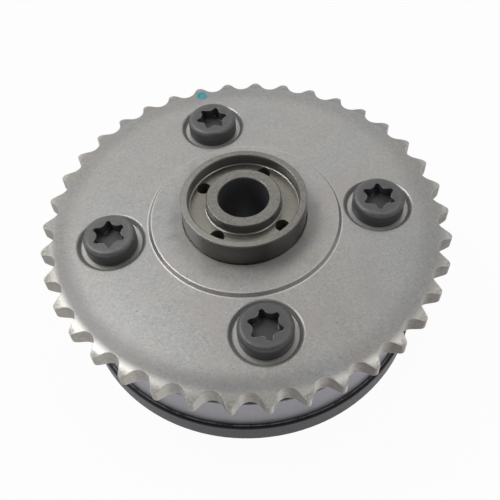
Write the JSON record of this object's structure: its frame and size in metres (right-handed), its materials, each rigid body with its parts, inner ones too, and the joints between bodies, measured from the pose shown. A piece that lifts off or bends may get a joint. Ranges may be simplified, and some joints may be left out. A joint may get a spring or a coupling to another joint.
{
  "type": "cam phaser",
  "caption": "Vane-type cam phaser: a chain sprocket bolted to a round chambered housing, with an inner rotor and hub that turn a few degrees under oil pressure.",
  "frame": {"origin": "on the turning axis, in the rear face of the black cover, on which the part stands", "axes": "+Z along the turning axis, out of the sprocket face and the hub; +X to the right and +Y away from the camera in the picture"},
  "size_m": [0.0982, 0.0982, 0.0379],
  "materials": {
    "sintered_plate": "matte sintered steel",
    "stator_metal": "matte sintered steel",
    "black_cover": "black oxide, satin",
    "rotor_metal": "machined sintered steel",
    "black_bolt": "black oxide, satin",
    "seal_plastic": "moulded seal plastic",
    "spring_steel": "spring steel",
    "hardened_steel": "ground hardened steel"
  },
  "bodies": {
    "housing": {"sprocket": "sintered_plate", "stator": "stator_metal", "rear_cover": "black_cover", "bolt_1": "black_bolt", "bolt_2": "black_bolt", "bolt_3": "black_bolt", "bolt_4": "black_bolt", "lobe_seal_1": "seal_plastic", "lobe_seal_2": "seal_plastic", "lobe_seal_3": "seal_plastic", "lobe_seal_4": "seal_plastic", "lobe_seal_spring_1": "spring_steel", "lobe_seal_spring_2": "spring_steel", "lobe_seal_spring_3": "spring_steel", "lobe_seal_spring_4": "spring_steel", "lock_pin_bush": "hardened_steel"},
    "rotor": {"rotor": "rotor_metal", "vane_seal_1": "seal_plastic", "vane_seal_2": "seal_plastic", "vane_seal_3": "seal_plastic", "vane_seal_4": "seal_plastic", "vane_seal_spring_1": "spring_steel", "vane_seal_spring_2": "spring_steel", "vane_seal_spring_3": "spring_steel", "vane_seal_spring_4": "spring_steel", "lock_pin_seat": "hardened_steel", "lock_pin_spring": "spring_steel"},
    "lock_pin": {"lock_pin": "hardened_steel"}
  },
  "joints": [
    {"name": "rotor_phase", "type": "hinge", "parent": "housing", "child": "rotor", "pos_m": [0, 0, 0.014], "axis": [0, 0, 1], "range_deg": [-17.5, 17.5]},
    {"name": "lock_pin_slide", "type": "slide", "parent": "rotor", "child": "lock_pin", "axis": [0, 0, 1], "range_m": [-0.0024, 0], "stiffness_N_per_m": 1000, "springref_m": 0.0004, "deforming": ["lock_pin_spring"]}
  ]
}
